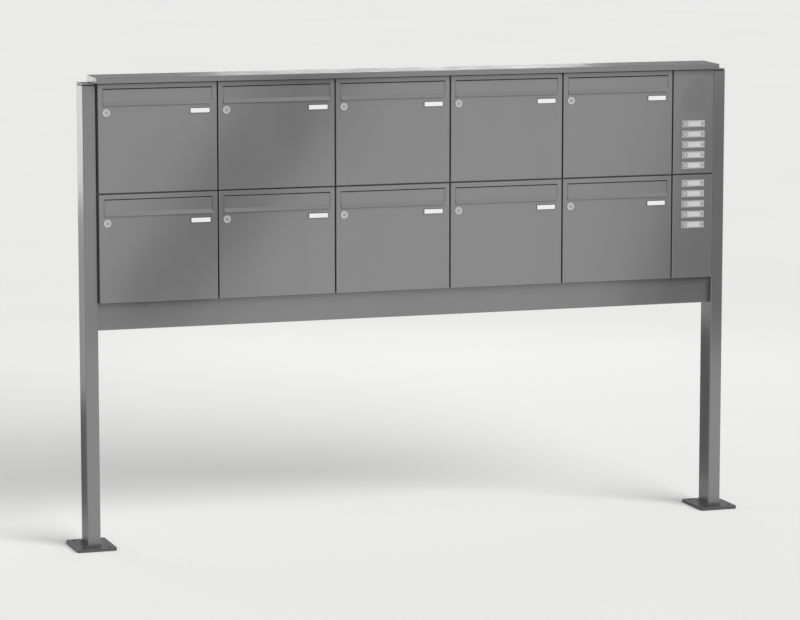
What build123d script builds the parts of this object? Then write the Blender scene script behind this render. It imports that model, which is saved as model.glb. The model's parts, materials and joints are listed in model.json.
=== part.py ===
"""Free-standing letterbox unit: two rows of five letterboxes and a bell column between two posts.

Row frame, in millimetres: the origin is on the ground under the middle of the unit, +X runs along
the front to the right, +Y to the back and +Z up. A letterbox and the bell column are drawn in their
own frame first: x from the left edge, y from the door face backwards and z from the lower edge.
"""
from build123d import *
import os

# Grid of letterboxes and the bell column on their right
COLUMNS = 5
ROWS = ("lower", "upper")
BOX_WIDTH = 370.0
BOX_HEIGHT = 330.0
BOX_DEPTH = 100.0
BELL_WIDTH = 140.0
UNIT_BASE = 746.0  # underside of the lower row above the ground
UNIT_WIDTH = COLUMNS * BOX_WIDTH + BELL_WIDTH
UNIT_HEIGHT = len(ROWS) * BOX_HEIGHT
LEFT = -UNIT_WIDTH / 2
FRONT = -BOX_DEPTH / 2

# Sheet metal
SHEET = 1.5
BEND = 2.0  # outer radius of a fold in the sheet
SIDE_GAP = 0.5  # from a box body to the edge of its place in the grid
PASS = 20.0  # how far a cutting tool runs past the surface it cuts

# Box body behind the door
BODY_FRONT = 15.0  # front of the body's inward flange, behind the door face
FLANGE = 14.0  # from the edge of the grid place to the body's opening

# Door tray and its hinge on the right
DOOR_GAP = 2.0  # from the door's edge to the edge of its place in the grid
DOOR_DEPTH = 12.0
DOOR_RIGHT = BOX_WIDTH - DOOR_GAP
DOOR_TOP = BOX_HEIGHT - DOOR_GAP
PIVOT_X = DOOR_RIGHT - 5.0
PIVOT_Y = 5.0
PIN_RADIUS = 1.25
RUNNING = 0.05  # radial clearance of everything that turns or slides
PRESSED = 0.01
TAB_THICK = 2.0
TAB_END = 2.2  # radius of the tab's round end about the pivot
TAB_LEFT = 10.0  # how far the tab reaches to the left of the pivot
TAB_GAP = 0.5  # between the tab and the door's folded edge
NOTCH_HEIGHT = 4.5
PIN_PAST_DOOR = 1.0
PIN_HEAD_RADIUS = 2.2
PIN_HEAD = 1.0

# Letter slot and its flap
FLAP_THICK = 1.2
FLAP_BEND = 1.8
FLAP_WIDTH = 334.0
FLAP_LEFT = (BOX_WIDTH - FLAP_WIDTH) / 2
FLAP_TOP = BOX_HEIGHT - 18.6
FLAP_RECESS = 0.5  # flap face behind the door face
LIP_TOP = BOX_HEIGHT - 55.0
LIP_BOTTOM = BOX_HEIGHT - 67.0
LIP_OUT = 6.0  # how far the finger lip stands forward of the flap face
SLOT_SIDE = 1.0  # gap at each end of the flap
SLOT_TOP = BOX_HEIGHT - 16.0
SLOT_BOTTOM = BOX_HEIGHT - 60.0
BEAD_RADIUS = 2.4
FLAP_PIVOT_Y = 4.5
FLAP_PIVOT_Z = FLAP_TOP - BEAD_RADIUS
FLAP_PIN_RADIUS = 1.5
FLAP_PIN_PAST = 5.5  # pin length past each end of the flap
EAR_GAP = 2.5  # from the flap's end to the ear that holds the pin
EAR_THICK = 2.0
EAR_DEPTH = 8.0
EAR_HALF_HEIGHT = 5.0

# Cam lock
LOCK_X = 27.0
LOCK_Z = BOX_HEIGHT - 88.0
ROSETTE_RADIUS = 11.5
ROSETTE_THICK = 2.2
ROSETTE_ROUND = 0.8
BARREL_RADIUS = 9.0
BARREL_END = 16.2
LOCK_NUT_RADIUS = 12.0
LOCK_NUT_THICK = 4.0
PLUG_RADIUS = 6.0
PLUG_RECESS = 0.2
PLUG_END = 16.4
KEY_SLOT = (1.3, 7.0, 2.0)  # width, length and depth
CAM_FRONT = 17.0
CAM_THICK = 2.0
CAM_WIDTH = 11.0
CAM_REACH = 20.0
CAM_NECK_RADIUS = 4.0
CAM_SCREW_RADIUS = 4.0
CAM_SCREW_HEAD = 2.0

# Name plate holder on the door
NAME_X = 315.5
NAME_Z = BOX_HEIGHT - 87.0
NAME_WIDTH = 62.0
NAME_HEIGHT = 16.5
NAME_THICK = 2.0
NAME_BORDER = 1.2
NAME_POCKET = 1.1

# Bell column
PLATE_WIDTH = 77.0
PLATE_HEIGHT = 21.5
PLATE_THICK = 2.0
PLATE_CORNER = 1.5
PLATE_EDGE = 0.4
PLATE_PITCH = 32.75
PLATES = 5
PLATE_LEFT = (BELL_WIDTH - PLATE_WIDTH) / 2
FIRST_PLATE_TOP = {"upper": BOX_HEIGHT - 160.0, "lower": BOX_HEIGHT - 17.7}
BUTTON_X = PLATE_LEFT + 10.7
BUTTON_RADIUS = 6.5
BUTTON_PROUD = 1.4  # button face in front of its plate
BUTTON_ROUND = 0.8
BUTTON_TRAVEL = 1.5
COLLAR_RADIUS = 7.5
COLLAR_THICK = 1.2
COLLAR_GAP = 0.3
STEM_RADIUS = 2.5
STEM_LENGTH = 3.2
CARD_LEFT = PLATE_LEFT + 21.5
CARD_WIDTH = 43.0
CARD_HEIGHT = 15.0
CARD_THICK = 0.4
CARD_POCKET = 0.9
CARD_PLAY = 0.2
SCREW_X = PLATE_LEFT + PLATE_WIDTH - 7.3
SCREW_HEAD_RADIUS = 1.75
SCREW_HEAD = 1.0
SCREW_RADIUS = 1.2
SCREW_LENGTH = 5.0
SCREW_SLOT = (0.5, 0.5)  # width and depth
SCREW_PLAY = 0.1
SWITCH_HALF = 8.3
SWITCH_HEIGHT = 16.0
SWITCH_DEPTH = 9.0
SWITCH_LEG = 2.0
GRILLE_PITCH = 6.5
GRILLE_HOLE_RADIUS = 1.0
GRILLE_COLUMNS = 12
GRILLE_ROWS = 16
GRILLE_BOTTOM = BOX_HEIGHT - 129.4
GRILLE_STEP = (4, 12)  # the upper rows leave out this many columns, from this row on
STUD_RADIUS = 3.0
STUD_INSET = 9.0
SPEAKER_RADIUS = 37.0
SPEAKER_RIM = 4.0
SPEAKER_RIM_THICK = 2.5
SPEAKER_CONE_DEPTH = 14.0
SPEAKER_CONE_RADIUS = 12.0
SPEAKER_SHELL = 2.0
MAGNET_RADIUS = 20.0
MAGNET_DEPTH = 11.0

# Posts, caps and foot plates
POST_WIDTH = 40.0
POST_DEPTH = 80.0
POST_WALL = 3.0
POST_ROUND = 4.0
POST_GAP = 2.0  # between the unit and each post
POST_TOP = 1398.0
FOOT_WIDTH = 120.0
FOOT_DEPTH = 160.0
FOOT_THICK = 10.0
FOOT_ROUND = 4.0
ANCHOR_RADIUS = 6.0
ANCHOR_SPACING = (80.0, 120.0)
WELD = 5.0  # leg of the weld bead round the post
WELD_SLOPE = 45.0
INSERT_LEDGE = 2.0  # how far the insert's neck stays inside the post's outline
INSERT_PLAY = 0.2
INSERT_DEPTH = 28.0
NECK = 4.5
CAP_THICK = 3.0
CAP_ROUND = 1.0

# Roof and lower beam
ROOF_FRONT = 21.0  # overhang in front of the doors
ROOF_SIDE = 7.0
ROOF_FRONT_HEIGHT = 16.5
ROOF_BACK_HEIGHT = 20.0
ROOF_FRONT_RETURN = 46.0
ROOF_BACK_RETURN = 20.0
BEAM_SHEET = 2.0
BEAM_BEND = 2.5
BEAM_HEIGHT = 83.0
BEAM_FRONT = 27.0
BEAM_BACK = 88.0
BEAM_RETURN = 33.0

# Bolts that hold the boxes, the beam and the posts together
BOLT_RADIUS = 3.0
BOLT_PLAY = 0.15
BOLT_HEAD_RADIUS = 5.5
BOLT_HEAD = 3.6
HEX_SIDES = 6
NUT_THICK = 5.0
WASHER_RADIUS = 7.0
BOX_BOLT_Y = 60.0
BOX_BOLT_HEIGHTS = (60.0, 270.0)
BEAM_BOLT_Y = 55.0
BEAM_BOLT_HEIGHTS = (22.0, 62.0)


def block(x, y, z):
    """Box over three (low, high) spans."""
    spans = (x, y, z)
    middle = [(low + high) / 2 for low, high in spans]
    return Pos(*middle) * Box(*[high - low for low, high in spans])


def around(centre, half):
    """Span of the given half-width about a centre."""
    return (centre - half, centre + half)


def rod_x(radius, x, y, z):
    """Round bar along X over the span x."""
    return Pos(sum(x) / 2, y, z) * Rot(0, 90, 0) * Cylinder(radius, x[1] - x[0])


def rod_y(radius, x, y, z):
    """Round bar along Y over the span y."""
    return Pos(x, sum(y) / 2, z) * Rot(90, 0, 0) * Cylinder(radius, y[1] - y[0])


def rod_z(radius, x, y, z):
    """Round bar along Z over the span z."""
    return Pos(x, y, sum(z) / 2) * Cylinder(radius, z[1] - z[0])


def right_side(points, distance):
    """The same path of (y, z) points moved to its right-hand side, with mitred corners."""
    path = [Vector(*point) for point in points]
    ways = [(after - before).normalized() for before, after in zip(path, path[1:])]
    normals = [Vector(way.Y, -way.X) for way in ways]
    firsts = [normals[0]] + normals
    lasts = normals + [normals[-1]]
    moved = []
    for point, first, last in zip(path, firsts, lasts):
        moved.append(point + (first + last) * (distance / (1 + first.dot(last))))
    return moved


def folded_sheet(points, thickness, bend, x):
    """Sheet folded along a (y, z) path, thick to the path's right, over the span x."""
    outer = FilletPolyline(*[Vector(*point) for point in points], radius=bend)
    inner = FilletPolyline(*right_side(points, thickness), radius=bend - thickness)
    ends = [Line(outer @ 0, inner @ 0), Line(outer @ 1, inner @ 1)]
    profile = make_face(outer.edges() + inner.edges() + ends)
    section = Plane((x[0], 0, 0), x_dir=(0, 1, 0), z_dir=(1, 0, 0)) * profile
    return extrude(section, amount=x[1] - x[0], dir=(1, 0, 0))


def tray(width, height):
    """Shallow sheet tray, open at the back, inside its place in the grid."""
    outer = block((DOOR_GAP, width - DOOR_GAP), (0, DOOR_DEPTH), (DOOR_GAP, height - DOOR_GAP))
    front = outer.faces().sort_by(Axis.Y)[0]
    outer = fillet(front.edges() + outer.edges().filter_by(Axis.Y), BEND)
    inset = DOOR_GAP + SHEET
    return outer - block((inset, width - inset), (SHEET, DOOR_DEPTH + PASS), (inset, height - inset))


def carcass(width, height):
    """Sheet box body with a back, open at the front inside an inward flange."""
    side = (SIDE_GAP, width - SIDE_GAP)
    outer = block(side, (BODY_FRONT, BOX_DEPTH), (0, height))
    inner_side = (side[0] + SHEET, side[1] - SHEET)
    hollow = block(inner_side, (BODY_FRONT + SHEET, BOX_DEPTH - SHEET), (SHEET, height - SHEET))
    mouth = block((FLANGE, width - FLANGE), around(BODY_FRONT, PASS), (FLANGE, height - FLANGE))
    return outer - hollow - mouth


def both_ends(z):
    """A height near a letterbox's lower edge and the same distance from its upper edge."""
    return (z, (BOX_HEIGHT - z[1], BOX_HEIGHT - z[0]))


TAB_LOW = DOOR_GAP + SHEET + TAB_GAP
TAB_SPANS = both_ends((TAB_LOW, TAB_LOW + TAB_THICK))


def hinge_tab(z):
    """Flat tab from the body's flange to the hinge pivot."""
    arm_x = (PIVOT_X - TAB_LEFT, PIVOT_X + TAB_END)
    tab = block(arm_x, (PIVOT_Y, BODY_FRONT + SHEET), z)
    tab += rod_z(TAB_END, PIVOT_X, PIVOT_Y, z)
    return tab - rod_z(PIN_RADIUS + PRESSED, PIVOT_X, PIVOT_Y, (z[0] - PASS, z[1] + PASS))


def bolt_holes(x, heights, y):
    """Cutting tools for the bolts through one side wall."""
    return [rod_x(BOLT_RADIUS + BOLT_PLAY, around(x, PASS), y, z) for z in heights]


def box_body():
    """Letterbox body with its hinge tabs and bolt holes."""
    body = carcass(BOX_WIDTH, BOX_HEIGHT)
    for z in TAB_SPANS:
        body += hinge_tab(z)
    for x in (0, BOX_WIDTH):
        body -= bolt_holes(x, BOX_BOLT_HEIGHTS, BOX_BOLT_Y)
    return body


def hinge_pins():
    """The two headed pins of one door, pressed into the tabs."""
    low = rod_z(PIN_RADIUS, PIVOT_X, PIVOT_Y, (PIN_PAST_DOOR, TAB_SPANS[0][1]))
    head = (TAB_SPANS[0][1], TAB_SPANS[0][1] + PIN_HEAD)
    low += rod_z(PIN_HEAD_RADIUS, PIVOT_X, PIVOT_Y, head)
    middle = Plane((0, 0, BOX_HEIGHT / 2), z_dir=(0, 0, 1))
    return [low, mirror(low, about=middle)]


def flap_ears():
    """Ears behind the door sheet that hold the flap's pin."""
    ears = []
    z = around(FLAP_PIVOT_Z, EAR_HALF_HEIGHT)
    for end, side in ((FLAP_LEFT, -1), (FLAP_LEFT + FLAP_WIDTH, 1)):
        inner = end + side * EAR_GAP
        x = sorted((inner, inner + side * EAR_THICK))
        hole = rod_x(FLAP_PIN_RADIUS + RUNNING, around(inner, PASS), FLAP_PIVOT_Y, FLAP_PIVOT_Z)
        ears.append(block(x, (SHEET, EAR_DEPTH), z) - hole)
    return ears


def door_sheet():
    """Door tray with its letter slot, lock hole, hinge holes and flap ears."""
    door = tray(BOX_WIDTH, BOX_HEIGHT)
    slot_x = (FLAP_LEFT - SLOT_SIDE, FLAP_LEFT + FLAP_WIDTH + SLOT_SIDE)
    door -= block(slot_x, around(0, SHEET + SHEET), (SLOT_BOTTOM, SLOT_TOP))
    door -= rod_y(BARREL_RADIUS + RUNNING, LOCK_X, around(0, PASS), LOCK_Z)
    door -= rod_z(PIN_RADIUS + RUNNING, PIVOT_X, PIVOT_Y, (-PASS, BOX_HEIGHT + PASS))
    fold = DOOR_GAP + SHEET
    for z in both_ends((fold, fold + NOTCH_HEIGHT)):
        door -= block((DOOR_RIGHT - SHEET, DOOR_RIGHT + PASS), (SHEET, DOOR_DEPTH + PASS), z)
    for ear in flap_ears():
        door += ear
    return door


def lock_housing():
    """Lock barrel with its round rosette in front and its nut behind the door sheet."""
    rosette = rod_y(ROSETTE_RADIUS, LOCK_X, (-ROSETTE_THICK, 0), LOCK_Z)
    rosette = fillet(rosette.faces().sort_by(Axis.Y)[0].edges(), ROSETTE_ROUND)
    housing = rosette + rod_y(BARREL_RADIUS, LOCK_X, (0, BARREL_END), LOCK_Z)
    housing += rod_y(LOCK_NUT_RADIUS, LOCK_X, (SHEET, SHEET + LOCK_NUT_THICK), LOCK_Z)
    return housing - rod_y(PLUG_RADIUS + RUNNING, LOCK_X, around(0, PASS + BARREL_END), LOCK_Z)


def lock_plug():
    """Turning plug with a key slot in front and the cam, which hangs down when unlocked."""
    plug = rod_y(PLUG_RADIUS, LOCK_X, (PLUG_RECESS - ROSETTE_THICK, PLUG_END), LOCK_Z)
    plug += rod_y(CAM_NECK_RADIUS, LOCK_X, (PLUG_END, CAM_FRONT), LOCK_Z)
    width, length, depth = KEY_SLOT
    face = PLUG_RECESS - ROSETTE_THICK
    plug -= block(around(LOCK_X, width / 2), (face - PASS, face + depth), around(LOCK_Z, length / 2))
    cam_y = (CAM_FRONT, CAM_FRONT + CAM_THICK)
    half = CAM_WIDTH / 2
    cam = block(around(LOCK_X, half), cam_y, (LOCK_Z - CAM_REACH + half, LOCK_Z))
    cam += rod_y(half, LOCK_X, cam_y, LOCK_Z - CAM_REACH + half)
    cam += rod_y(half, LOCK_X, cam_y, LOCK_Z)
    screw_y = (cam_y[1], cam_y[1] + CAM_SCREW_HEAD)
    return plug + cam + rod_y(CAM_SCREW_RADIUS, LOCK_X, screw_y, LOCK_Z)


def name_holder():
    """Flat frame on the door face with a pocket for the name card."""
    wide, high = NAME_WIDTH / 2, NAME_HEIGHT / 2
    frame = block(around(NAME_X, wide), (-NAME_THICK, 0), around(NAME_Z, high))
    frame = fillet(frame.edges().filter_by(Axis.Y), NAME_BORDER)
    pocket_x = around(NAME_X, wide - NAME_BORDER)
    pocket_z = around(NAME_Z, high - NAME_BORDER)
    return frame - block(pocket_x, (-NAME_THICK - PASS, NAME_POCKET - NAME_THICK), pocket_z)


def flap():
    """Letter flap: a folded plate with a finger lip below and a pivot bead along its top."""
    face = FLAP_RECESS
    path = [(face - LIP_OUT, LIP_BOTTOM), (face, LIP_TOP), (face, FLAP_TOP), (FLAP_PIVOT_Y, FLAP_TOP)]
    x = (FLAP_LEFT, FLAP_LEFT + FLAP_WIDTH)
    plate = folded_sheet(path, FLAP_THICK, FLAP_BEND, x)
    plate += rod_x(BEAD_RADIUS, x, FLAP_PIVOT_Y, FLAP_PIVOT_Z)
    pin_x = (x[0] - FLAP_PIN_PAST, x[1] + FLAP_PIN_PAST)
    return plate + rod_x(FLAP_PIN_RADIUS, pin_x, FLAP_PIVOT_Y, FLAP_PIVOT_Z)


def plate_centres(row):
    """Heights of the bell plates' centres in one row, from the top down."""
    top = FIRST_PLATE_TOP[row]
    return [top - PLATE_HEIGHT / 2 - PLATE_PITCH * count for count in range(PLATES)]


def bell_plate(z):
    """Light metal bell plate with its button hole, card pocket and screw hole."""
    plate_x = (PLATE_LEFT, PLATE_LEFT + PLATE_WIDTH)
    plate = block(plate_x, (-PLATE_THICK, 0), around(z, PLATE_HEIGHT / 2))
    plate = fillet(plate.edges().filter_by(Axis.Y), PLATE_CORNER)
    plate = chamfer(plate.faces().sort_by(Axis.Y)[0].edges(), PLATE_EDGE)
    plate -= rod_y(BUTTON_RADIUS + RUNNING, BUTTON_X, around(0, PASS), z)
    pocket_y = (-PLATE_THICK - PASS, CARD_POCKET - PLATE_THICK)
    plate -= block((CARD_LEFT, CARD_LEFT + CARD_WIDTH), pocket_y, around(z, CARD_HEIGHT / 2))
    sink_y = (-PLATE_THICK - PASS, SCREW_HEAD - PLATE_THICK)
    plate -= rod_y(SCREW_HEAD_RADIUS + SCREW_PLAY, SCREW_X, sink_y, z)
    return plate - rod_y(SCREW_RADIUS + SCREW_PLAY, SCREW_X, around(0, PASS), z)


def bell_card(z):
    """Name card in the pocket of a bell plate."""
    card_x = (CARD_LEFT + CARD_PLAY, CARD_LEFT + CARD_WIDTH - CARD_PLAY)
    back = CARD_POCKET - PLATE_THICK
    return block(card_x, (back - CARD_THICK, back), around(z, CARD_HEIGHT / 2 - CARD_PLAY))


def bell_screw(z):
    """Slotted screw that holds a bell plate to its panel."""
    face = -PLATE_THICK
    head = rod_y(SCREW_HEAD_RADIUS, SCREW_X, (face, face + SCREW_HEAD), z)
    width, depth = SCREW_SLOT
    slot_x = around(SCREW_X, SCREW_HEAD_RADIUS)
    head -= block(slot_x, (face, face + depth), around(z, width / 2))
    return head + rod_y(SCREW_RADIUS, SCREW_X, (face + SCREW_HEAD, face + SCREW_LENGTH), z)


def bell_button(z):
    """Round push button with its retaining collar and stem."""
    face = -PLATE_THICK - BUTTON_PROUD
    collar = SHEET + COLLAR_GAP
    button = rod_y(BUTTON_RADIUS, BUTTON_X, (face, collar), z)
    button = fillet(button.faces().sort_by(Axis.Y)[0].edges(), BUTTON_ROUND)
    button += rod_y(COLLAR_RADIUS, BUTTON_X, (collar, collar + COLLAR_THICK), z)
    stem = collar + COLLAR_THICK
    return button + rod_y(STEM_RADIUS, BUTTON_X, (stem, stem + STEM_LENGTH), z)


def bell_switch(z):
    """Switch on two legs behind the panel, just clear of the pressed button."""
    front = SHEET + COLLAR_GAP + COLLAR_THICK + STEM_LENGTH + BUTTON_TRAVEL + COLLAR_GAP
    span_z = around(z, SWITCH_HEIGHT / 2)
    back = front + SWITCH_DEPTH
    switch = block(around(BUTTON_X, SWITCH_HALF + SWITCH_LEG), (front, back), span_z)
    for side in (-1, 1):
        inner = BUTTON_X + side * SWITCH_HALF
        leg_x = sorted((inner, inner + side * SWITCH_LEG))
        switch += block(leg_x, (SHEET, front), span_z)
    return switch


def grille_holes():
    """Cutting tools for the stepped field of round sound holes."""
    skipped, step_row = GRILLE_STEP
    left = BELL_WIDTH / 2 - GRILLE_PITCH * (GRILLE_COLUMNS - 1) / 2
    holes = []
    for row in range(GRILLE_ROWS):
        first = skipped if row >= step_row else 0
        z = GRILLE_BOTTOM + GRILLE_PITCH * row
        for column in range(first, GRILLE_COLUMNS):
            x = left + GRILLE_PITCH * column
            holes.append(rod_y(GRILLE_HOLE_RADIUS, x, around(0, SHEET + SHEET), z))
    return holes


def bell_panel(row):
    """Front tray of the bell column in one row, with its mounting studs."""
    panel = tray(BELL_WIDTH, BOX_HEIGHT)
    for x in (STUD_INSET, BELL_WIDTH - STUD_INSET):
        for z in (STUD_INSET, BOX_HEIGHT - STUD_INSET):
            panel += rod_y(STUD_RADIUS, x, (SHEET, BODY_FRONT), z)
    holes = []
    for z in plate_centres(row):
        holes.append(rod_y(BUTTON_RADIUS + RUNNING, BUTTON_X, around(0, SHEET + SHEET), z))
        holes.append(rod_y(SCREW_RADIUS + SCREW_PLAY, SCREW_X, around(0, SHEET + SHEET), z))
    if row == "upper":
        holes += grille_holes()
    return panel - holes


def speaker():
    """Loudspeaker behind the sound holes: rim, cone basket and magnet."""
    back = SPEAKER_RIM_THICK + SPEAKER_CONE_DEPTH
    outline = [
        (SPEAKER_RADIUS - SPEAKER_RIM, 0),
        (SPEAKER_RADIUS, 0),
        (SPEAKER_RADIUS, SPEAKER_RIM_THICK),
        (SPEAKER_RADIUS - SPEAKER_RIM, SPEAKER_RIM_THICK + SPEAKER_SHELL),
        (MAGNET_RADIUS, back),
        (MAGNET_RADIUS, back + MAGNET_DEPTH),
        (0, back + MAGNET_DEPTH),
        (0, SPEAKER_CONE_DEPTH),
        (SPEAKER_CONE_RADIUS, SPEAKER_CONE_DEPTH),
    ]
    half = make_face(Polyline(*outline, close=True))
    upright = revolve(Plane.XZ * half, Axis.Z)
    z = GRILLE_BOTTOM + GRILLE_PITCH * (GRILLE_COLUMNS - 1) / 2
    return Pos(BELL_WIDTH / 2, SHEET, z) * Rot(-90, 0, 0) * upright


def bell_housing():
    """Body of the bell column over both rows, with a rail between its two panels."""
    body = carcass(BELL_WIDTH, UNIT_HEIGHT)
    rail_y = (BODY_FRONT, BODY_FRONT + SHEET)
    body += block((FLANGE, BELL_WIDTH - FLANGE), rail_y, around(BOX_HEIGHT, FLANGE))
    for row in range(len(ROWS)):
        heights = [row * BOX_HEIGHT + z for z in BOX_BOLT_HEIGHTS]
        for x in (0, BELL_WIDTH):
            body -= bolt_holes(x, heights, BOX_BOLT_Y)
    return body


def tube_outline(width, depth, corner):
    """Rounded rectangle about the post's axis."""
    return RectangleRounded(width, depth, corner)


def post(side):
    """Rectangular tube, with bolt holes in the wall that faces the unit."""
    outer = tube_outline(POST_WIDTH, POST_DEPTH, POST_ROUND)
    bore = (POST_WIDTH - 2 * POST_WALL, POST_DEPTH - 2 * POST_WALL, POST_ROUND - POST_WALL)
    wall = outer - tube_outline(*bore)
    tube = Pos(0, 0, FOOT_THICK) * extrude(wall, amount=POST_TOP - FOOT_THICK)
    inner_wall = -side * (POST_WIDTH - POST_WALL) / 2
    beam_base = UNIT_BASE - BEAM_HEIGHT
    spots = [(FRONT + BEAM_BOLT_Y, beam_base + z) for z in BEAM_BOLT_HEIGHTS]
    for row in range(len(ROWS)):
        spots += [(FRONT + BOX_BOLT_Y, UNIT_BASE + row * BOX_HEIGHT + z) for z in BOX_BOLT_HEIGHTS]
    for y, z in spots:
        tube -= rod_x(BOLT_RADIUS + BOLT_PLAY, around(inner_wall, POST_WALL), y, z)
    return tube


def foot_plate():
    """Ground plate with four anchor holes and the weld around the post."""
    plate = extrude(RectangleRounded(FOOT_WIDTH, FOOT_DEPTH, FOOT_ROUND), amount=FOOT_THICK)
    bead = RectangleRounded(POST_WIDTH + 2 * WELD, POST_DEPTH + 2 * WELD, POST_ROUND + WELD)
    weld = Pos(0, 0, FOOT_THICK) * extrude(bead, amount=WELD - PRESSED, taper=WELD_SLOPE)
    socket = extrude(tube_outline(POST_WIDTH, POST_DEPTH, POST_ROUND), amount=PASS)
    plate += weld - Pos(0, 0, FOOT_THICK) * socket
    for spot in GridLocations(*ANCHOR_SPACING, 2, 2):
        plate -= spot * rod_z(ANCHOR_RADIUS, 0, 0, (-PASS, PASS))
    return plate


def cap_insert():
    """Plastic insert pressed into the post's top, with a neck that carries the cap."""
    neck = (POST_WIDTH - 2 * INSERT_LEDGE, POST_DEPTH - 2 * INSERT_LEDGE, POST_ROUND - INSERT_LEDGE)
    inset = POST_WALL + INSERT_PLAY
    stem = (POST_WIDTH - 2 * inset, POST_DEPTH - 2 * inset, POST_ROUND - POST_WALL)
    insert = Pos(0, 0, POST_TOP) * extrude(tube_outline(*neck), amount=NECK)
    return insert + Pos(0, 0, POST_TOP - INSERT_DEPTH) * extrude(tube_outline(*stem), amount=INSERT_DEPTH)


def post_cap():
    """Flat metal cap on the insert's neck."""
    cap = extrude(tube_outline(POST_WIDTH, POST_DEPTH, POST_ROUND), amount=CAP_THICK)
    cap = fillet(cap.faces().sort_by(Axis.Z)[-1].edges(), CAP_ROUND)
    return Pos(0, 0, POST_TOP + NECK) * cap


def roof():
    """Folded sheet roof with a small fall to the front and closed ends."""
    front, back = -ROOF_FRONT, BOX_DEPTH
    path = [
        (front + ROOF_FRONT_RETURN, 0),
        (front, 0),
        (front, ROOF_FRONT_HEIGHT),
        (back, ROOF_BACK_HEIGHT),
        (back, 0),
        (back - ROOF_BACK_RETURN, 0),
    ]
    x = (-ROOF_SIDE, UNIT_WIDTH + ROOF_SIDE)
    sheet = folded_sheet(path, SHEET, BEND, x)
    inside = right_side(path[1:5], SHEET)
    closing = make_face(Polyline(*inside, close=True))
    for start in (x[0], x[1] - SHEET):
        section = Plane((start, 0, 0), x_dir=(0, 1, 0), z_dir=(1, 0, 0)) * closing
        sheet += extrude(section, amount=SHEET, dir=(1, 0, 0))
    return Pos(LEFT, FRONT, UNIT_BASE + UNIT_HEIGHT) * sheet


def beam():
    """Folded channel under the boxes, with an end plate bolted to each post."""
    path = [
        (BEAM_FRONT + BEAM_RETURN, 0),
        (BEAM_FRONT, 0),
        (BEAM_FRONT, BEAM_HEIGHT),
        (BEAM_BACK, BEAM_HEIGHT),
    ]
    x = (-POST_GAP, UNIT_WIDTH + POST_GAP)
    channel = folded_sheet(path, BEAM_SHEET, BEAM_BEND, x)
    plate_y = (BEAM_FRONT + BEAM_SHEET, BEAM_BACK)
    plate_z = (BEAM_SHEET, BEAM_HEIGHT - BEAM_SHEET)
    for start in (x[0], x[1] - BEAM_SHEET):
        end_plate = block((start, start + BEAM_SHEET), plate_y, plate_z)
        channel += end_plate - bolt_holes(start, BEAM_BOLT_HEIGHTS, BEAM_BOLT_Y)
    return Pos(LEFT, FRONT, UNIT_BASE - BEAM_HEIGHT) * channel


def hexagon(x, y, z):
    """Hexagonal bolt head or nut along X over the span x."""
    outline = RegularPolygon(BOLT_HEAD_RADIUS, HEX_SIDES)
    section = Plane((x[0], y, z), x_dir=(0, 1, 0), z_dir=(1, 0, 0)) * outline
    return extrude(section, amount=x[1] - x[0], dir=(1, 0, 0))


def bolt(head, nut, y, z):
    """Bolt and nut along X: the head sits against x = head and the nut against x = nut."""
    way = 1 if head > nut else -1
    shank = rod_x(BOLT_RADIUS, sorted((head, nut - way * NUT_THICK)), y, z)
    shank += hexagon(sorted((head, head + way * BOLT_HEAD)), y, z)
    return shank + hexagon(sorted((nut, nut - way * NUT_THICK)), y, z)


def washer(x, y, z):
    """Spacing washer that fills the gap x between two side walls."""
    return rod_x(WASHER_RADIUS, x, y, z) - rod_x(BOLT_RADIUS + BOLT_PLAY, (x[0] - PASS, x[1] + PASS), y, z)


def box_bolts(z):
    """Bolts and washers at one height: post to box, box to box, box to bell column and to post."""
    wall = SIDE_GAP + SHEET
    right = UNIT_WIDTH
    pieces = [bolt(wall, -POST_GAP - POST_WALL, BOX_BOLT_Y, z)]
    pieces.append(washer((-POST_GAP, SIDE_GAP), BOX_BOLT_Y, z))
    for column in range(1, COLUMNS + 1):
        x = column * BOX_WIDTH
        pieces.append(bolt(x + wall, x - wall, BOX_BOLT_Y, z))
        pieces.append(washer(around(x, SIDE_GAP), BOX_BOLT_Y, z))
    pieces.append(bolt(right - wall, right + POST_GAP + POST_WALL, BOX_BOLT_Y, z))
    pieces.append(washer((right - SIDE_GAP, right + POST_GAP), BOX_BOLT_Y, z))
    return pieces


def beam_bolts(z):
    """Bolts at one height from the beam's end plates to the posts."""
    left = bolt(BEAM_SHEET - POST_GAP, -POST_GAP - POST_WALL, BEAM_BOLT_Y, z)
    right_head = UNIT_WIDTH + POST_GAP - BEAM_SHEET
    right = bolt(right_head, UNIT_WIDTH + POST_GAP + POST_WALL, BEAM_BOLT_Y, z)
    return [left, right]


def assembly_bolts():
    """Every bolt, nut and washer between the boxes, the beam and the posts."""
    pieces = []
    for row in range(len(ROWS)):
        for z in BOX_BOLT_HEIGHTS:
            pieces += [Pos(0, 0, row * BOX_HEIGHT) * piece for piece in box_bolts(z)]
    for z in BEAM_BOLT_HEIGHTS:
        pieces += [Pos(0, 0, -BEAM_HEIGHT) * piece for piece in beam_bolts(z)]
    return [Pos(LEFT, FRONT, UNIT_BASE) * piece for piece in pieces]


def placed(shape, column, row):
    """A letterbox or bell part moved from its own frame to its place in the grid."""
    return Pos(LEFT + column * BOX_WIDTH, FRONT, UNIT_BASE + row * BOX_HEIGHT) * shape


def save(node, shapes):
    """Write one node's solids."""
    solids = [solid for shape in shapes for solid in shape.solids()]
    export_step(solids[0] if len(solids) == 1 else Compound(solids), f"parts/{node}.step")


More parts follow.
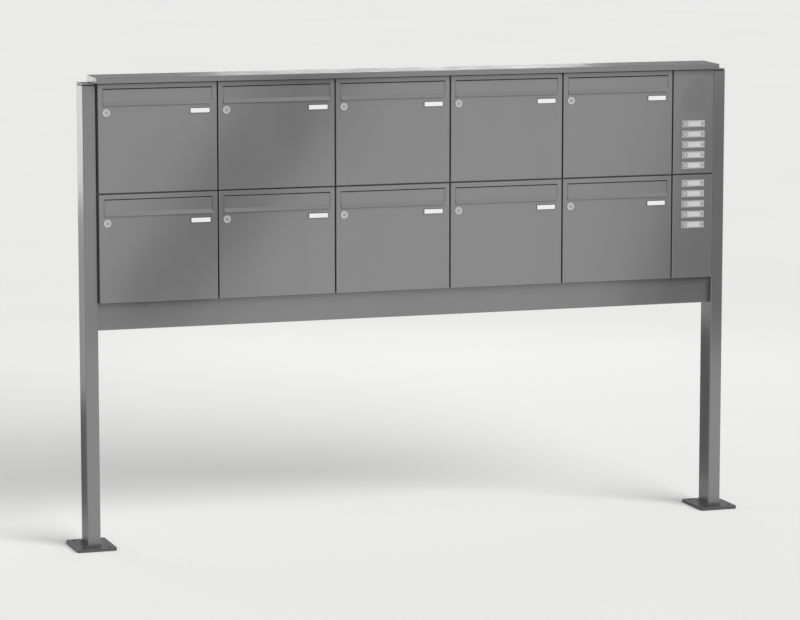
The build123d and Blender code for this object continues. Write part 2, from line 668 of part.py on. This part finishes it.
def save_letterboxes():
    """The bodies, hinge pins, doors, flaps and locks of every letterbox."""
    body = box_body()
    pins = hinge_pins()
    door = [door_sheet(), lock_housing(), name_holder()]
    letter_flap = flap()
    plug = lock_plug()
    all_pins = []
    for row, name in enumerate(ROWS):
        save(f"{name}_box_bodies", [placed(body, column, row) for column in range(COLUMNS)])
        for column in range(COLUMNS):
            place = f"{name}_{column + 1}"
            save(f"door_{place}", [placed(piece, column, row) for piece in door])
            save(f"flap_{place}", [placed(letter_flap, column, row)])
            save(f"lock_{place}", [placed(plug, column, row)])
            all_pins += [placed(pin, column, row) for pin in pins]
    save("hinge_pins", all_pins)


def save_bell_column():
    """The bell column's housing, panels, plates, buttons and what is behind them."""
    save("bell_housing", [placed(bell_housing(), COLUMNS, 0)])
    groups = {"bell_plates": bell_plate, "bell_name_cards": bell_card}
    groups.update({"bell_plate_screws": bell_screw, "bell_switches": bell_switch})
    places = []
    for row, name in reversed(list(enumerate(ROWS))):
        save(f"{name}_bell_panel", [placed(bell_panel(name), COLUMNS, row)])
        places += [(row, z) for z in plate_centres(name)]
    for node, make in groups.items():
        save(node, [placed(make(z), COLUMNS, row) for row, z in places])
    for number, (row, z) in enumerate(places, start=1):
        save(f"bell_button_{number}", [placed(bell_button(z), COLUMNS, row)])
    save("speaker_unit", [placed(speaker(), COLUMNS, len(ROWS) - 1)])


def save_frame():
    """Posts, foot plates, caps, roof, beam and bolts."""
    post_x = UNIT_WIDTH / 2 + POST_GAP + POST_WIDTH / 2
    for name, side in (("left", -1), ("right", 1)):
        save(f"{name}_post", [Pos(side * post_x, 0, 0) * post(side)])
        save(f"{name}_foot_plate", [Pos(side * post_x, 0, 0) * foot_plate()])
    save("post_caps", [Pos(x, 0, 0) * post_cap() for x in (-post_x, post_x)])
    save("cap_inserts", [Pos(x, 0, 0) * cap_insert() for x in (-post_x, post_x)])
    save("roof", [roof()])
    save("apron_beam", [beam()])
    save("assembly_bolts", assembly_bolts())


os.makedirs("parts", exist_ok=True)
save_frame()
save_letterboxes()
save_bell_column()
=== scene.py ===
"""Looks of the free-standing letterbox unit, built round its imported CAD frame. Metres throughout."""
import json
import math

import bmesh
import bpy
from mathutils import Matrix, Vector


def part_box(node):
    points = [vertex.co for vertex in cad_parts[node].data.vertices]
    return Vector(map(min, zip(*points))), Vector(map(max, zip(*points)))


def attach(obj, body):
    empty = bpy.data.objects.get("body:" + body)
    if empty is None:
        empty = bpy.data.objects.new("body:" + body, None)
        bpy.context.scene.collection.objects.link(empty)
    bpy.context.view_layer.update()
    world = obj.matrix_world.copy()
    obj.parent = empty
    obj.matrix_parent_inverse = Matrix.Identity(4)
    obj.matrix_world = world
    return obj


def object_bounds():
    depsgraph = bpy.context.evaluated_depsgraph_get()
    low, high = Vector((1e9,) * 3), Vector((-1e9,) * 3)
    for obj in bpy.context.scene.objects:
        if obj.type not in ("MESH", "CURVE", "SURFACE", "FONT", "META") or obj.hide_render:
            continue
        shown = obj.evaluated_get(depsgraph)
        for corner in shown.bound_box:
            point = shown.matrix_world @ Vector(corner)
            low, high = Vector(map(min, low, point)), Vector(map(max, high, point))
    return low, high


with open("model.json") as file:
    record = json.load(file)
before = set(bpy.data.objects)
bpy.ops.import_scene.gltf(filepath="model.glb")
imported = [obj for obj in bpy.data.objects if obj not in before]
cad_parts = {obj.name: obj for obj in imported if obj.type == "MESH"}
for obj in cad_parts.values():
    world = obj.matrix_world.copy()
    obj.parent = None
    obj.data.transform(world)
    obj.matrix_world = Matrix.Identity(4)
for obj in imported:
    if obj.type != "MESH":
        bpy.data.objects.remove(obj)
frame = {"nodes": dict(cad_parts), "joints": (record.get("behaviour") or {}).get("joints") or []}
CAD_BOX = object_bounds()
JOINTS = {joint["name"]: joint for joint in frame["joints"]}
PLACES = [f"{row}_{column}" for row in ("upper", "lower") for column in range(1, 6)]
BUTTONS = range(1, 11)
MM = 0.001

# Where the door's fittings sit, from the CAD design
PIVOT_BEHIND_FACE = 5 * MM
NAME_FROM_LEFT = 313.5 * MM
NAME_FROM_TOP = 85 * MM

# Camera: to the left of the front and a little above the unit's middle
CAMERA_AZIMUTH = math.radians(-18.68)
CAMERA_ELEVATION = math.radians(7.91)
CAMERA_DISTANCE = 10.70
CAMERA_AIM = Vector((-0.031, 0.0, -0.033))  # from the middle of the unit
CAMERA_LENS = 155.8
SENSOR_WIDTH = 36.0

# Studio: brightness of the surroundings; the key light's strength and, in degrees, its direction
SURROUNDINGS = 0.50
KEY_STRENGTH = 4.2
KEY_AZIMUTH, KEY_ELEVATION, KEY_SPREAD = 25.0, 28.0, 48.0
LIGHT_STAND = 6.0  # a distant light's own stand, which doesn't change its light
# Two soft lights behind the unit: place, aim, size and power
POST_LIGHT = ((-1.55, 1.45, 1.25), (-1.037, 0.0, 1.15), (0.7, 0.7), 3.0)
ROOF_LIGHT = ((1.4, 4.2, 2.0), (0.0, 0.0, 1.4), (1.6, 0.4), 11.0)
FLOOR_RADIUS = 150.0
FLOOR_SIDES = 96
FLAG_REACH = 0.5  # from a mirroring plane to its flag

# Corners of what mirrors a dark flag: (x, z) on the front of the unit's box for the first two,
# (y, z) on its left side and on the right post's inner side for the others
LEFT_FLAG = ((-0.44, 1.46), (-0.14, 1.46), (-0.71, 0.66), (-1.02, 0.66))
RIGHT_FLAG = ((0.96, 1.42), (1.30, 1.42), (1.30, 0.52), (0.70, 0.52))
POST_FLAG = ((-0.30, 0.46), (0.30, 0.46), (0.30, 0.07), (-0.30, 0.07))
INNER_FLAG = ((-0.25, 0.60), (0.25, 0.60), (0.25, 0.08), (-0.25, 0.08))


# ---------------------------------------------------------------- materials
# Noise scales are repeats per metre, tones run from black 0 to white 1.


class Shader:
    """A material and the few node patterns that every surface here is made of."""

    def __init__(self, name, **constants):
        self.material = bpy.data.materials.new(name)
        self.material.use_nodes = True
        self.tree = self.material.node_tree
        self.surface = self.tree.nodes["Principled BSDF"]
        coordinates = self.tree.nodes.new("ShaderNodeTexCoord")
        self.place = coordinates.outputs["Object"]
        for socket, value in constants.items():
            self.surface.inputs[socket.replace("_", " ")].default_value = value

    def link(self, output, target):
        self.tree.links.new(output, target)

    def stretched(self, scale):
        """Coordinates stretched along the axes, for a grain that runs one way."""
        mapping = self.tree.nodes.new("ShaderNodeMapping")
        mapping.inputs["Scale"].default_value = scale
        self.link(self.place, mapping.inputs["Vector"])
        return mapping.outputs["Vector"]

    def noise(self, scale, detail=4.0, roughness=0.55, at=None):
        node = self.tree.nodes.new("ShaderNodeTexNoise")
        node.inputs["Scale"].default_value = scale
        node.inputs["Detail"].default_value = detail
        node.inputs["Roughness"].default_value = roughness
        self.link(at or self.place, node.inputs["Vector"])
        return node.outputs["Fac"]

    def cells(self, scale):
        node = self.tree.nodes.new("ShaderNodeTexVoronoi")
        node.inputs["Scale"].default_value = scale
        self.link(self.place, node.inputs["Vector"])
        return node.outputs["Color"]

    def spread(self, value, low, high, start=0.3, stop=0.7):
        """A value between start and stop, spread over low to high."""
        node = self.tree.nodes.new("ShaderNodeMapRange")
        node.inputs["From Min"].default_value = start
        node.inputs["From Max"].default_value = stop
        node.inputs["To Min"].default_value = low
        node.inputs["To Max"].default_value = high
        self.link(value, node.inputs["Value"])
        return node.outputs["Result"]

    def sum(self, first, second, kind="ADD"):
        node = self.tree.nodes.new("ShaderNodeMath")
        node.operation = kind
        self.link(first, node.inputs[0])
        self.link(second, node.inputs[1])
        return node.outputs[0]

    def colour(self, value, dark, light):
        """Colour of the surface between two greys or tints, by a value from 0 to 1."""
        ramp = self.tree.nodes.new("ShaderNodeValToRGB")
        ramp.color_ramp.elements[0].color = (*dark, 1.0)
        ramp.color_ramp.elements[1].color = (*light, 1.0)
        self.link(value, ramp.inputs["Fac"])
        self.link(ramp.outputs["Color"], self.surface.inputs["Base Color"])

    def roughness(self, value):
        self.link(value, self.surface.inputs["Roughness"])

    def bump(self, height, depth, strength=1.0, before=None):
        """Relief of the given depth in metres, on top of an earlier relief if there is one."""
        node = self.tree.nodes.new("ShaderNodeBump")
        node.inputs["Distance"].default_value = depth
        node.inputs["Strength"].default_value = strength
        self.link(height, node.inputs["Height"])
        if before:
            self.link(before, node.inputs["Normal"])
        self.link(node.outputs["Normal"], self.surface.inputs["Normal"])
        return node.outputs["Normal"]


def grey(value):
    return (value, value, value)


def powder_coat(name, tone, dust=0.0, index=2.4):
    """Satin powder coat: orange peel, a fine grain and slow drifts of tone and gloss."""
    shader = Shader(name, IOR=index)
    drift = shader.noise(2.2, detail=3.0)
    grain = shader.noise(1500.0, detail=2.0)
    peel = shader.noise(260.0, detail=2.0, roughness=0.4)
    tone_value = shader.sum(shader.spread(drift, 0.0, 0.62), shader.spread(grain, 0.0, 0.38))
    shader.colour(tone_value, grey(tone * (0.93 - dust)), grey(tone * 1.07))
    smear = shader.noise(9.0, detail=5.0, at=shader.stretched((1.0, 1.0, 0.35)))
    shader.roughness(shader.sum(shader.spread(smear, 0.0, 0.08), shader.spread(grain, 0.28, 0.34)))
    relief = shader.bump(peel, 0.22 * MM, 0.35)
    shader.bump(grain, 0.06 * MM, 0.5, before=relief)
    return shader.material


def brushed_metal(name, tone, along, roughness=0.36):
    """Satin anodised metal with a fine one-way grain, drawn out along one axis."""
    shader = Shader(name, Metallic=0.3, Anisotropic=0.4)
    stretch = tuple(0.02 if axis == along else 1.0 for axis in "XYZ")
    lines = shader.noise(2400.0, detail=3.0, at=shader.stretched(stretch))
    cloud = shader.noise(60.0, detail=3.0)
    shader.colour(shader.sum(lines, cloud, "MULTIPLY"), grey(tone * 0.86), grey(min(1.0, tone * 1.25)))
    shader.roughness(shader.spread(lines, roughness - 0.06, roughness + 0.10))
    shader.bump(lines, 0.03 * MM, 0.5)
    return shader.material


def turned_metal(name, tone, roughness, share=0.4):
    """Satin turned metal with faint handling marks; share is how much of it mirrors."""
    shader = Shader(name, Metallic=share)
    marks = shader.noise(900.0, detail=6.0, roughness=0.7)
    cloud = shader.noise(140.0, detail=3.0)
    shader.colour(cloud, grey(tone * 0.9), grey(min(1.0, tone * 1.08)))
    shader.roughness(shader.spread(marks, roughness - 0.05, roughness + 0.09))
    shader.bump(marks, 0.02 * MM, 0.35)
    return shader.material


def zinc_plate(name):
    """Zinc plated steel with a faint crystal pattern."""
    shader = Shader(name, Metallic=1.0)
    flakes = shader.cells(420.0)
    cloud = shader.noise(220.0, detail=4.0)
    shader.colour(shader.sum(flakes, cloud, "MULTIPLY"), grey(0.34), grey(0.62))
    shader.roughness(shader.spread(cloud, 0.32, 0.48))
    shader.bump(flakes, 0.02 * MM, 0.3)
    return shader.material


def moulded_plastic(name, tone, roughness=0.55):
    """Dark moulded plastic with a spark-eroded grain."""
    shader = Shader(name)
    grain = shader.noise(1800.0, detail=3.0)
    cloud = shader.noise(35.0, detail=3.0)
    shader.colour(cloud, grey(tone * 0.8), grey(tone * 1.3))
    shader.roughness(shader.spread(grain, roughness - 0.07, roughness + 0.08))
    shader.bump(grain, 0.05 * MM, 0.5)
    return shader.material


def card(name, tone, gloss):
    """White name card under a clear cover: paper fibre below, a smooth coat above."""
    shader = Shader(name, Coat_Weight=gloss, Coat_Roughness=0.08)
    fibre = shader.noise(1300.0, detail=6.0, roughness=0.7)
    cloud = shader.noise(25.0, detail=2.0)
    shader.colour(shader.sum(fibre, cloud, "MULTIPLY"), grey(tone * 0.94), grey(min(1.0, tone * 1.05)))
    shader.roughness(shader.spread(fibre, 0.5, 0.65))
    shader.bump(fibre, 0.02 * MM, 0.25)
    return shader.material


def studio_floor(name):
    """Matt pale plain floor with a barely visible trowel texture."""
    shader = Shader(name, Specular_IOR_Level=0.0)
    cloud = shader.noise(0.7, detail=4.0)
    grain = shader.noise(60.0, detail=4.0)
    shader.colour(shader.sum(cloud, grain, "MULTIPLY"), (0.71, 0.71, 0.705), (0.78, 0.78, 0.775))
    shader.roughness(shader.spread(cloud, 0.55, 0.7))
    shader.bump(grain, 0.4 * MM, 0.2)
    return shader.material


FRAME_PAINT = powder_coat("frame_powder_coat", 0.076)
# painted shade: the foot plates carry the frame's paint at a lower tone, so they read darker at the
# ground; the dust setting only adds random speckle
SHADED_FOOT_PAINT = powder_coat("foot_powder_coat_painted_shade", 0.052, dust=0.03, index=1.45)
# painted shade: the box bodies and bell housing carry the door paint at about half its tone, so the
# gaps between doors and panels read dark
SHADED_BODY_PAINT = powder_coat("body_powder_coat_painted_shade", 0.048, dust=0.03)
DOOR_PAINT = powder_coat("door_powder_coat", 0.090)
FLAP_PAINT = powder_coat("flap_powder_coat", 0.090)
PLATE_METAL = brushed_metal("bell_plate_metal", 0.36, "X")
BUTTON_METAL = turned_metal("button_metal", 0.36, 0.36, share=0.3)
LOCK_METAL = turned_metal("lock_satin_chrome", 0.44, 0.32)
PLUG_METAL = turned_metal("plug_metal", 0.31, 0.34)
FIXINGS = zinc_plate("zinc_plate")
SCREW_METAL = turned_metal("screw_metal", 0.13, 0.38)
DARK_PLASTIC = moulded_plastic("dark_plastic", 0.020)
FRAME_PLASTIC = moulded_plastic("name_frame_plastic", 0.055, 0.4)
SPEAKER_PAPER = moulded_plastic("speaker_paper", 0.028, 0.75)
CARD = card("name_card", 0.52, 0.6)
BELL_CARD = card("bell_card", 0.37, 0.3)
FLAG_CLOTH = moulded_plastic("flag_cloth", 0.004, 0.9)


# ---------------------------------------------------------------- mesh pieces

CREASE = math.radians(40)  # edges sharper than this stay hard
SEAT = 0.02 * MM  # between a piece's back and the face behind it

LOCK_RIM = 11.62 * MM
LOCK_LIP = 8.4 * MM  # inner edge of the raised lip
LOCK_DISH = 8.0 * MM  # outer edge of the dish about the plug
LOCK_BORE = 6.07 * MM
LOCK_PROUD = 2.5 * MM
LOCK_ROUNDING = 0.7 * MM
LOCK_DISH_DEPTHS = (0.22 * MM, 0.24 * MM)  # at the dish's outer edge and at the bore

NAME_WIDTH, NAME_HEIGHT = 62 * MM, 16.5 * MM
NAME_BORDER = 1.2 * MM
NAME_PROUD = 2 * MM
NAME_FLOOR = 0.9 * MM  # the pocket's floor in front of the door face
NAME_ROUNDING = 0.35 * MM
COVER = 0.09 * MM  # how far a visual piece stands outside the CAD solid that it covers

CARD_PLAY = 0.3 * MM
CARD_CORNER = 0.5 * MM
# The card's layers from back to front: share of its outline, and rise above the pocket's floor
CARD_LAYERS = (
    (1.0, 0.02 * MM),
    (1.0, 0.35 * MM),
    (0.985, 0.45 * MM),
    (0.9, 0.5 * MM),
    (0.6, 0.58 * MM),
    (0.2, 0.6 * MM),
)

BEZEL_OUTER, BEZEL_INNER = 7.5 * MM, 6.62 * MM
BEZEL_PROUD = 0.5 * MM
BEZEL_ROUNDING = 0.25 * MM


def piece(name, build, material, body):
    """A mesh piece made by build(bm), shaded smooth with sharp creases, riding on a CAD body."""
    bm = bmesh.new()
    build(bm)
    bmesh.ops.recalc_face_normals(bm, faces=bm.faces)
    mesh = bpy.data.meshes.new(name)
    bm.to_mesh(mesh)
    bm.free()
    mesh.shade_smooth()
    mesh.set_sharp_from_angle(angle=CREASE)
    mesh.materials.append(material)
    made = bpy.data.objects.new(name, mesh)
    bpy.context.scene.collection.objects.link(made)
    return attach(made, body)


def bridge(bm, loops, closed):
    """Faces between neighbouring loops of points; closed joins the last loop to the first."""
    rings = [[bm.verts.new(point) for point in loop] for loop in loops]
    pairs = list(zip(rings, rings[1:]))
    if closed:
        pairs.append((rings[-1], rings[0]))
    for near, far in pairs:
        count = len(near)
        for i in range(count):
            after = (i + 1) % count
            bm.faces.new((near[i], near[after], far[after], far[i]))
    return rings


def circle(centre, radius, y, count=72):
    """Points of a circle about a line along Y."""
    turn = 2 * math.pi / count
    return [
        Vector((centre.x + radius * math.cos(turn * i), y, centre.z + radius * math.sin(turn * i)))
        for i in range(count)
    ]


def rounded_rectangle(centre, width, height, radius, y, steps=6):
    """Points of a rectangle with round corners in a plane across Y."""
    points = []
    corners = ((1, 1, 0), (-1, 1, 90), (-1, -1, 180), (1, -1, 270))
    for side, up, start in corners:
        middle_x = centre.x + side * (width / 2 - radius)
        middle_z = centre.z + up * (height / 2 - radius)
        for i in range(steps + 1):
            angle = math.radians(start + 90 * i / steps)
            x = middle_x + radius * math.cos(angle)
            points.append(Vector((x, y, middle_z + radius * math.sin(angle))))
    return points


def round_over(outer, inner, front, back, radius, steps=4):
    """Outline (size, y) of a flat ring whose two front edges are rounded."""
    outline = [(outer, back)]
    for i in range(steps + 1):
        angle = math.pi / 2 * i / steps
        size = outer - radius + radius * math.cos(angle)
        outline.append((size, front + radius - radius * math.sin(angle)))
    for i in range(steps + 1):
        angle = math.pi / 2 * i / steps
        size = inner + radius - radius * math.sin(angle)
        outline.append((size, front + radius - radius * math.cos(angle)))
    outline.append((inner, back))
    return outline


def ring(centre, outer, inner, front, back, radius):
    """Builder of a round ring about a line along Y."""
    def build(bm):
        outline = round_over(outer, inner, front, back, radius)
        bridge(bm, [circle(centre, size, y) for size, y in outline], closed=True)
    return build


def door_face(place):
    return JOINTS[f"door_{place}_hinge"]["pos_m"][1] - PIVOT_BEHIND_FACE


def lock_ring(place):
    """Bright rosette over the lock barrel's flange, with a shallow dish about the plug."""
    x, _, z = JOINTS[f"lock_{place}_turn"]["pos_m"]
    face = door_face(place)
    centre = Vector((x, 0, z))
    front, back = face - LOCK_PROUD, face - SEAT
    edge, deepest = (front + depth for depth in LOCK_DISH_DEPTHS)
    def build(bm):
        outline = round_over(LOCK_RIM, LOCK_LIP, front, back, LOCK_ROUNDING)[:-1]
        outline += [(LOCK_DISH, edge), (LOCK_BORE, deepest), (LOCK_BORE, back)]
        bridge(bm, [circle(centre, size, y) for size, y in outline], closed=True)
    return piece(f"lock_ring_{place}", build, LOCK_METAL, f"door_{place}")


def name_centre(place):
    lo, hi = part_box(f"door_{place}")
    return Vector((lo.x + NAME_FROM_LEFT, door_face(place), hi.z - NAME_FROM_TOP))


def name_frame(place):
    """Thin dark frame of the name plate holder."""
    centre = name_centre(place)
    front, back = centre.y - NAME_PROUD - COVER, centre.y - SEAT
    half = NAME_BORDER / 2
    def build(bm):
        loops = []
        outline = round_over(half + COVER, -half - COVER, front, back, NAME_ROUNDING)
        for offset, y in outline:
            width = NAME_WIDTH - NAME_BORDER + 2 * offset
            height = NAME_HEIGHT - NAME_BORDER + 2 * offset
            corner = half + offset + CARD_CORNER
            loops.append(rounded_rectangle(centre, width, height, corner, y))
        bridge(bm, loops, closed=True)
    return piece(f"name_frame_{place}", build, FRAME_PLASTIC, f"door_{place}")


def name_card(place):
    """White card in the holder's pocket, slightly bowed forward in its middle."""
    centre = name_centre(place)
    width = NAME_WIDTH - 2 * NAME_BORDER - CARD_PLAY
    height = NAME_HEIGHT - 2 * NAME_BORDER - CARD_PLAY
    pocket = centre.y - NAME_FLOOR
    def build(bm):
        loops = []
        for share, rise in CARD_LAYERS:
            inset = (1 - share) * height
            y = pocket - rise
            loops.append(rounded_rectangle(centre, width - inset, height - inset, CARD_CORNER, y))
        rings = bridge(bm, loops, closed=False)
        bm.faces.new(rings[0])
        bm.faces.new(reversed(rings[-1]))
    return piece(f"name_card_{place}", build, CARD, f"door_{place}")


def button_bezel(number):
    """Thin dark seal round a bell button, on the face of its plate."""
    lo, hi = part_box(f"bell_button_{number}")
    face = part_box("bell_plates")[0].y
    centre = Vector(((lo.x + hi.x) / 2, 0, (lo.z + hi.z) / 2))
    front, back = face - BEZEL_PROUD, face + SEAT
    build = ring(centre, BEZEL_OUTER, BEZEL_INNER, front, back, BEZEL_ROUNDING)
    return piece(f"button_bezel_{number}", build, FRAME_PLASTIC, "frame")


# ---------------------------------------------------------------- stage


def floor():
    """Round floor, wide enough to pass the horizon of every view."""
    mesh = bpy.data.meshes.new("studio_floor")
    bm = bmesh.new()
    bmesh.ops.create_circle(bm, cap_ends=True, segments=FLOOR_SIDES, radius=FLOOR_RADIUS)
    bm.to_mesh(mesh)
    bm.free()
    mesh.materials.append(studio_floor("pale_floor"))
    made = bpy.data.objects.new("studio_floor", mesh)
    bpy.context.scene.collection.objects.link(made)


def area_light(name, place, aim, size, power):
    """Soft rectangular light at a place, turned to its aim and never seen itself."""
    data = bpy.data.lights.new(name, "AREA")
    data.shape = "RECTANGLE"
    data.size, data.size_y = size
    data.energy = power
    aim_light(name, data, Vector(place), Vector(aim) - Vector(place))


def far_light(name, azimuth, elevation, spread, strength):
    """Distant soft light that casts no highlight; its azimuth is 0 in front and grows to the right."""
    data = bpy.data.lights.new(name, "SUN")
    data.angle = math.radians(spread)
    data.energy = strength
    side, up = math.radians(azimuth), math.radians(elevation)
    source = Vector((math.sin(side) * math.cos(up), -math.cos(side) * math.cos(up), math.sin(up)))
    made = aim_light(name, data, source * LIGHT_STAND, -source)
    made.visible_glossy = False


def aim_light(name, data, place, way):
    """Place a light that the camera doesn't see and turn it to shine along a way."""
    made = bpy.data.objects.new(name, data)
    made.location = place
    made.rotation_euler = way.to_track_quat("-Z", "Y").to_euler()
    made.visible_camera = False
    bpy.context.scene.collection.objects.link(made)
    return made


def sight_flag(name, across, corners):
    """Dark cloth flag that only reflections see: it darkens what lies between the given corners.

    The corners lie on a plane square to one axis, 0 for X and 1 for Y. Each is mirrored out from
    the plane along the camera's line of sight.
    """
    eye = bpy.context.scene.camera.location
    points = []
    for corner in corners:
        on_plane = Vector(corner)
        way = (on_plane - eye).normalized()
        way[across] = -way[across]
        points.append(on_plane + way * FLAG_REACH)
    mesh = bpy.data.meshes.new(name)
    mesh.from_pydata(points, [], [range(len(points))])
    mesh.materials.append(FLAG_CLOTH)
    made = bpy.data.objects.new(name, mesh)
    made.visible_camera = made.visible_shadow = False
    made.visible_diffuse = made.visible_transmission = False
    bpy.context.scene.collection.objects.link(made)


def studio():
    """Even pale surroundings, a soft key, weak lights on post and roof, and four dark flags."""
    world = bpy.data.worlds.new("studio")
    world.use_nodes = True
    background = world.node_tree.nodes["Background"]
    background.inputs["Color"].default_value = (1.0, 1.0, 1.0, 1.0)
    background.inputs["Strength"].default_value = SURROUNDINGS
    bpy.context.scene.world = world
    far_light("key", KEY_AZIMUTH, KEY_ELEVATION, KEY_SPREAD, KEY_STRENGTH)
    area_light("post_light", *POST_LIGHT)
    area_light("roof_light", *ROOF_LIGHT)
    front, left_side = CAD_BOX[0].y, CAD_BOX[0].x
    inner_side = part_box("right_post")[0].x
    sight_flag("left_flag", 1, [(x, front, z) for x, z in LEFT_FLAG])
    sight_flag("right_flag", 1, [(x, front, z) for x, z in RIGHT_FLAG])
    sight_flag("post_flag", 0, [(left_side, y, z) for y, z in POST_FLAG])
    sight_flag("inner_flag", 0, [(inner_side, y, z) for y, z in INNER_FLAG])
    bpy.context.scene.view_settings.view_transform = "Standard"


def camera():
    """Camera at the front left, aimed near the unit's middle, with no shift or depth of field."""
    low, high = CAD_BOX
    aim = (low + high) / 2 + CAMERA_AIM
    flat = math.cos(CAMERA_ELEVATION)
    aside, forward = math.sin(CAMERA_AZIMUTH) * flat, -math.cos(CAMERA_AZIMUTH) * flat
    back = Vector((aside, forward, math.sin(CAMERA_ELEVATION)))
    data = bpy.data.cameras.new("camera")
    data.sensor_width = SENSOR_WIDTH
    data.lens = CAMERA_LENS
    made = bpy.data.objects.new("camera", data)
    made.location = aim + back * CAMERA_DISTANCE
    made.rotation_euler = (-back).to_track_quat("-Z", "Y").to_euler()
    bpy.context.scene.collection.objects.link(made)
    bpy.context.scene.camera = made


# ---------------------------------------------------------------- the unit


NODE_PAINTS = {
    "left_post": FRAME_PAINT,
    "right_post": FRAME_PAINT,
    "left_foot_plate": SHADED_FOOT_PAINT,
    "right_foot_plate": SHADED_FOOT_PAINT,
    "post_caps": FRAME_PAINT,
    "roof": FRAME_PAINT,
    "apron_beam": FRAME_PAINT,
    "upper_box_bodies": SHADED_BODY_PAINT,
    "lower_box_bodies": SHADED_BODY_PAINT,
    "bell_housing": SHADED_BODY_PAINT,
    "upper_bell_panel": DOOR_PAINT,
    "lower_bell_panel": DOOR_PAINT,
    "cap_inserts": DARK_PLASTIC,
    "bell_switches": DARK_PLASTIC,
    "speaker_unit": SPEAKER_PAPER,
    "assembly_bolts": FIXINGS,
    "hinge_pins": FIXINGS,
    "bell_plates": PLATE_METAL,
    "bell_name_cards": BELL_CARD,
    "bell_plate_screws": SCREW_METAL,
}
KIND_PAINTS = {
    "door": DOOR_PAINT,
    "flap": FLAP_PAINT,
    "lock": PLUG_METAL,
    "bell": BUTTON_METAL,
}


def dress_cad_nodes():
    """Give every carried-over CAD node its material."""
    for name, node in frame["nodes"].items():
        paint = NODE_PAINTS.get(name) or KIND_PAINTS[name.split("_")[0]]
        node.data.materials.clear()
        node.data.materials.append(paint)


dress_cad_nodes()
for place in PLACES:
    lock_ring(place)
    name_frame(place)
    name_card(place)
for number in BUTTONS:
    button_bezel(number)
floor()
camera()
studio()
